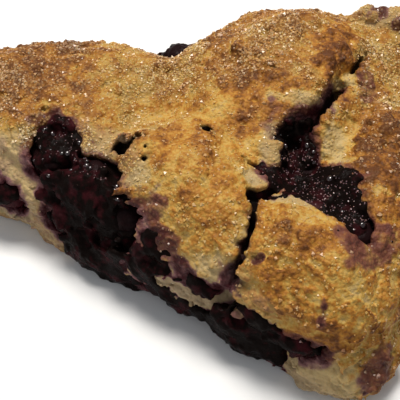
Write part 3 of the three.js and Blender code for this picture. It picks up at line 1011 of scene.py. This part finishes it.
def crustMaterial():
    n = Nodes("bakedCrust")
    look = crustLook
    speckle = n.noise(0.8, 3.0, 0.6)
    patch = n.noise(2.6, 3.0, 0.55, shift=2.0)
    brown = n.math("ADD", n.attribute("brown"), n.swing(speckle, look["speckle"]))
    brown = n.math("ADD", brown, n.swing(patch, look["patch"]), clamp=True)
    torn = n.mix(n.attribute("side"), look["torn"], look["cutSide"])
    colour = n.mix(n.attribute("open"), crustColour(n, brown), torn)
    cutSide = n.math("MULTIPLY", n.attribute("side"), look["cutSideShare"])
    colour = n.mix(cutSide, colour, look["cutSide"])

    stain = n.math("MULTIPLY", n.attribute("stain"), n.swing(patch, look["stainPatch"], 1.0), clamp=True)
    raw = n.math("MAXIMUM", n.attribute("open"), n.attribute("side"))
    colour = n.mix(n.mapRange(stain, 0.15, 0.6), colour, n.mix(raw, look["plum"], look["mauve"]))
    colour = n.mix(n.mapRange(stain, 0.5, 0.95), colour, look["wine"])

    grit = n.cells(look["gritWave"])
    frostAndShade = n.attribute("frostAndShade")
    frosted = n.math("MULTIPLY", n.mapRange(grit, *look["gritTops"]), frostAndShade)
    # darker where sugar lies: caramel, and painted shade over the tip and the back
    colour = n.mix(n.math("MULTIPLY", frostAndShade, look["meltAndShadeShare"]), colour, look["meltAndShade"])
    colour = n.mix(n.math("MULTIPLY", frosted, look["frostShare"]), colour, look["frosted"])
    # painted shade deep in holes
    colour = n.mix(n.attribute("deep"), colour, look["shade"])

    rough = n.mapRange(stain, 0.6, 1.0, look["roughness"], look["wetRoughness"])
    rough = n.math("SUBTRACT", rough, n.math("MULTIPLY", frosted, look["frostSmooths"]))
    pore = n.bump(n.noise(0.4, 2.0, 0.6, shift=5.0), 0.12, 0.9)
    crumb = n.bump(n.noise(1.1, 3.0, 0.6, shift=7.0), 0.35, 0.9, pore)
    return n.coat(colour, rough, look["shine"], n.bump(grit, 0.35, 0.8, crumb), look["glow"])


def sugarMaterial():
    n = Nodes("coarseSugar")
    look = sugarLook
    melted = n.mix(n.attribute("wine"), crustColour(n, n.attribute("brown")), look["meltedOnJam"])
    clear = n.mix(n.attribute("wine"), look["clear"], look["clearOnJam"])
    return n.coat(n.mix(n.attribute("clear"), melted, clear), look["roughness"], glow=look["glow"])


def berryMaterial():
    n = Nodes("bakedBerry")
    look = berryLook
    bloom = n.noise(2.4, 4.0, 0.65, shift=3.0)
    skin = n.ramp(bloom, [(0.3, look["skin"]), (0.8, look["bloom"]), (0.6, look["plum"])])
    skin = n.mix(n.math("MULTIPLY", n.attribute("red"), bloom), skin, look["juice"])
    rough = n.mapRange(n.noise(1.0, 2.0, 0.5, shift=4.0), 0.35, 0.65, *look["roughness"])
    return n.coat(skin, rough, look["shine"], n.bump(n.noise(0.6, 3.0, 0.6, shift=6.0), 0.2, 0.9))


def jamMaterial():
    n = Nodes("wetJam")
    look = jamLook
    pulp = n.noise(3.0, 4.0, 0.6, shift=8.0)
    colour = n.ramp(pulp, [(0.5, look["thick"]), (0.84, look["hazy"]), (0.66, look["thin"])])
    rough = n.mapRange(n.noise(1.6, 2.0, 0.5, shift=9.0), 0.35, 0.65, *look["roughness"])
    fine = n.bump(n.noise(0.35, 2.0, 0.6, shift=11.0), 0.08, 0.8)
    coarse = n.bump(n.noise(0.9, 3.0, 0.6, shift=10.0), 0.3, 0.9, fine)
    return n.coat(colour, rough, look["shine"], coarse)


def beadMaterial():
    n = Nodes("clearSyrup")
    look = beadLook
    colour = n.ramp(n.noise(1.5), [(0.3, look["dark"]), (0.7, look["light"])])
    return n.coat(colour, look["roughness"], look["shine"])


def tableMaterial():
    n = Nodes("paleTable")
    look = tableLook
    colour = n.ramp(n.noise(40.0, 3.0, 0.5), [(0.3, look["plain"]), (0.7, look["light"])])
    return n.coat(colour, look["roughness"])


# sugar on the crust and on the fruit

sugar = {
    "onCrust": {"count": 13000, "small": 0.18, "large": 0.5},   # half the width of a grain
    "onFruit": {"count": 520, "small": 0.09, "large": 0.26},
    "fewLarge": 1.8,        # higher makes large grains rarer
    "shortest": 0.8,        # a grain's stretch each way
    "stretch": 0.5,
    "chipped": 0.3,         # how unevenly its corners stand out
    "sunk": 0.2,            # how deep it has sunk in, of its size
    "browned": 0.8,         # how much of the crust's browning it shows
    "clearLeast": 0.1,
    "clearSpan": 0.7,
    "fewClear": 3,          # higher makes clear grains rarer
    "melts": 0.45,          # how much less clear it is where sugar lies thin
    "slope": (0.1, 0.7),    # how level the crust has to be to hold it; 1 is level
    "fruitSlope": (0.2, 0.8),
    "stainBares": 0.8,
    "fruitPlaces": [        # where grains lie on berries and jam
        ((-20, -13, 25), (6, 5, 4), 0.4),
        ((34, -10, 25), (5, 6, 5), 0.9),
        ((42, -19, 26), (7, 6, 5), 1.0),
        ((27, -13, 26), (3, 3, 4), 0.6),
        ((-9, -18, 23), (6, 5, 3), 0.25),
    ],
}

# one grain before it is stretched and turned: six corners and eight sides
crystal = {
    "points": np.array([[1, 0, 0], [-1, 0, 0], [0, 1, 0], [0, -1, 0], [0, 0, 1], [0, 0, -1]], float),
    "sides": np.array([[0, 2, 4], [2, 1, 4], [1, 3, 4], [3, 0, 4],
                       [2, 0, 5], [1, 2, 5], [3, 1, 5], [0, 3, 5]]),
}


def turns(count):
    # random turns as matrices, from quaternions
    q = random.normal(size=(count, 4))
    q /= np.linalg.norm(q, axis=1)[:, None]
    w, x, y, z = q.T
    rows = np.array([[1 - 2 * (y * y + z * z), 2 * (x * y - z * w), 2 * (x * z + y * w)],
                     [2 * (x * y + z * w), 1 - 2 * (x * x + z * z), 2 * (y * z - x * w)],
                     [2 * (x * z - y * w), 2 * (y * z + x * w), 1 - 2 * (x * x + y * y)]])
    return rows.transpose(2, 0, 1)


def strewnPoints(surface, density, count):
    # random places on a surface, most where its faces' density is high, and the face of each
    triangles = surface["triangles"]
    corners = surface["points"][triangles]
    across = np.cross(corners[:, 1] - corners[:, 0], corners[:, 2] - corners[:, 0])
    chance = np.linalg.norm(across, axis=1) / 2 * np.maximum(density, 0)
    picked = random.choice(len(triangles), count, p=chance / chance.sum())
    u, v = random.random((2, count, 1))
    u = np.sqrt(u)
    c = corners[picked]
    return c[:, 0] * (1 - u) + (c[:, 1] * (1 - v) + c[:, 2] * v) * u, picked


def onFaces(surface, name):
    # the mean over each triangle of what its points hold under that name
    return surface[name][surface["triangles"]].mean(1)


def scatterGrains(name, surface, density, kind, material):
    # rough little crystals, strewn over a surface
    count = kind["count"]
    at, picked = strewnPoints(surface, density, count)
    size = kind["small"] + (kind["large"] - kind["small"]) * random.random((count, 1)) ** sugar["fewLarge"]
    shape = crystal["points"] * (sugar["shortest"] + sugar["stretch"] * random.random((count, 1, 3)))
    corners = len(crystal["points"])
    shape = shape * (1 + sugar["chipped"] * (random.random((count, corners, 1)) - 0.5))
    shape = np.einsum("nij,nkj->nki", turns(count), shape) * size[:, :, None]
    at = at - onFaces(surface, "normals")[picked] * size * sugar["sunk"]
    grains = at[:, None] + shape
    sides = crystal["sides"] + corners * np.arange(count)[:, None, None]
    piece = meshFrom(name, grains.reshape(-1, 3), sides.reshape(-1, 3), smooth=False)
    clear = sugar["clearLeast"] + sugar["clearSpan"] * random.random(count) ** sugar["fewClear"]
    clear = clear * (1 - sugar["melts"] + sugar["melts"] * onFaces(surface, "frostAndShade")[picked])
    paint(piece, "brown", np.repeat(onFaces(surface, "brown")[picked] * sugar["browned"], corners))
    paint(piece, "wine", np.repeat(onFaces(surface, "stain")[picked], corners))
    paint(piece, "clear", np.repeat(clear, corners))
    piece.data.materials.append(material)
    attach(piece, "root")
    print(name + ":", count, "grains")


def sugarTheCrust(surface, material):
    up = onFaces(surface, "normals")[:, 2]
    bare = np.maximum(surface["open"], surface["stain"] * sugar["stainBares"])
    crusty = 1 - bare[surface["triangles"]].mean(1)
    density = smoothStep(*sugar["slope"], up) * np.maximum(crusty, 0) ** 2 * onFaces(surface, "frostAndShade")
    scatterGrains("sugarOnCrust", surface, density, sugar["onCrust"], material)


def sugarTheFruit(surface, material):
    up = onFaces(surface, "normals")[:, 2]
    places = spotted(onFaces(surface, "points"), sugar["fruitPlaces"])
    density = smoothStep(*sugar["fruitSlope"], up) * places
    scatterGrains("sugarOnFruit", surface, density, sugar["onFruit"], material)


# drops of syrup on the jam, which catch the light

beads = {
    "split": 2,             # how finely a drop is divided
    "count": 210,
    "small": 0.14,
    "large": 0.9,
    "fewLarge": 2.5,        # higher makes large drops rarer
    "flat": 0.6,
    "sunk": 0.2,            # how far a drop has sunk in, of its radius
    "places": [
        ((-11.5, -18.2, 22), (3.4, 2.8, 4), 1.0),
        ((-3, -22, 20), (4, 3, 4), 0.8),
        ((-8, -25, 7), (4.5, 3.5, 4), 0.9),
        ((-19, -14, 24), (6, 5, 4), 0.35),
        ((35, -11, 24), (7, 7, 5), 0.2),
        ((28, -4, 22), (4, 4, 8), 0.3),
        ((44, -21, 25), (5, 5, 5), 0.15),
    ],
}


def ballPoints(split):
    # the points and the faces of a ball of radius 1
    ball = bmesh.new()
    bmesh.ops.create_icosphere(ball, subdivisions=split, radius=1.0)
    points = np.array([v.co for v in ball.verts])
    faces = np.array([[v.index for v in face.verts] for face in ball.faces])
    ball.free()
    return points, faces


def dropBeads(surface, material):
    density = spotted(onFaces(surface, "points"), beads["places"])
    at, picked = strewnPoints(surface, density, beads["count"])
    normals = onFaces(surface, "normals")[picked]
    span = beads["large"] - beads["small"]
    size = beads["small"] + span * random.random(beads["count"]) ** beads["fewLarge"]
    unit, faces = ballPoints(beads["split"])
    points, allFaces = [], []
    for n, (place, normal, radius) in enumerate(zip(at, normals, size)):
        along = np.outer(unit @ normal, normal)
        drop = unit - along * (1 - beads["flat"])
        points.append(place - normal * radius * beads["flat"] * beads["sunk"] + drop * radius)
        allFaces.append(faces + n * len(unit))
    piece = meshFrom("syrupBeads", np.concatenate(points), np.concatenate(allFaces))
    piece.data.materials.append(material)
    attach(piece, "root")
    print("syrup beads:", beads["count"])


# the berries

berry = {
    "split": 4,             # how finely a berry's skin is divided
    "bulge": 0.09,          # these six are shares of its radius
    "bulgeWave": 0.6,
    "pucker": 0.10,
    "puckerWave": 0.36,
    "wrinkle": 0.02,
    "wrinkleWave": 0.15,
    "red": ["berry_tip", "berry_side_corner"],      # burst open, with their red juice showing
    "otherRed": 0.1,
}


def makeBerry(name, skin):
    at, r = berryAt[name]
    unit, faces = ballPoints(berry["split"])
    x, y, z = unit.T
    shift = at[0] + 2 * at[1]           # no two berries are alike
    bulge = turnedNoise(x, y, z, berry["bulgeWave"], shift)
    folds = 1 - np.abs(turnedNoise(x, y, z, berry["puckerWave"], shift + 5)) * 2
    wrinkles = 1 - np.abs(turnedNoise(x, y, z, berry["wrinkleWave"], shift + 9)) * 2
    size = 1 + berry["bulge"] * bulge - berry["pucker"] * np.maximum(folds, 0) ** 2
    size = size + berry["wrinkle"] * wrinkles
    points = np.array(at) + unit * np.array(r) * size[:, None]
    piece = meshFrom("skin_" + name, points, faces)
    paint(piece, "red", np.full(len(points), 1.0 if name in berry["red"] else berry["otherRed"]))
    piece.data.materials.append(skin)
    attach(piece, "root")
    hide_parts(name)


tableHalf = 900.0


def makeTable():
    points = tableHalf * np.array([(-1, -1, 0), (1, -1, 0), (1, 1, 0), (-1, 1, 0)])
    table = meshFrom("table", points, np.array([[0, 1, 2, 3]]), smooth=False)
    table.data.materials.append(tableMaterial())


placeCamera()
lightStudio()
print("camera and lights are up")

model = modelDough()
crust, crustSurface = makeDough(model)
crust.data.materials.append(crustMaterial())
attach(crust, "root")
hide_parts("dough")

pooled, jamSurface = makeJam(model)
pooled.data.materials.append(jamMaterial())
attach(pooled, "root")

skin = berryMaterial()
for node in berryNodes:
    makeBerry(node, skin)
print("berries:", len(berryNodes))

grain = sugarMaterial()
sugarTheCrust(crustSurface, grain)
sugarTheFruit(jamSurface, grain)
dropBeads(jamSurface, beadMaterial())
makeTable()
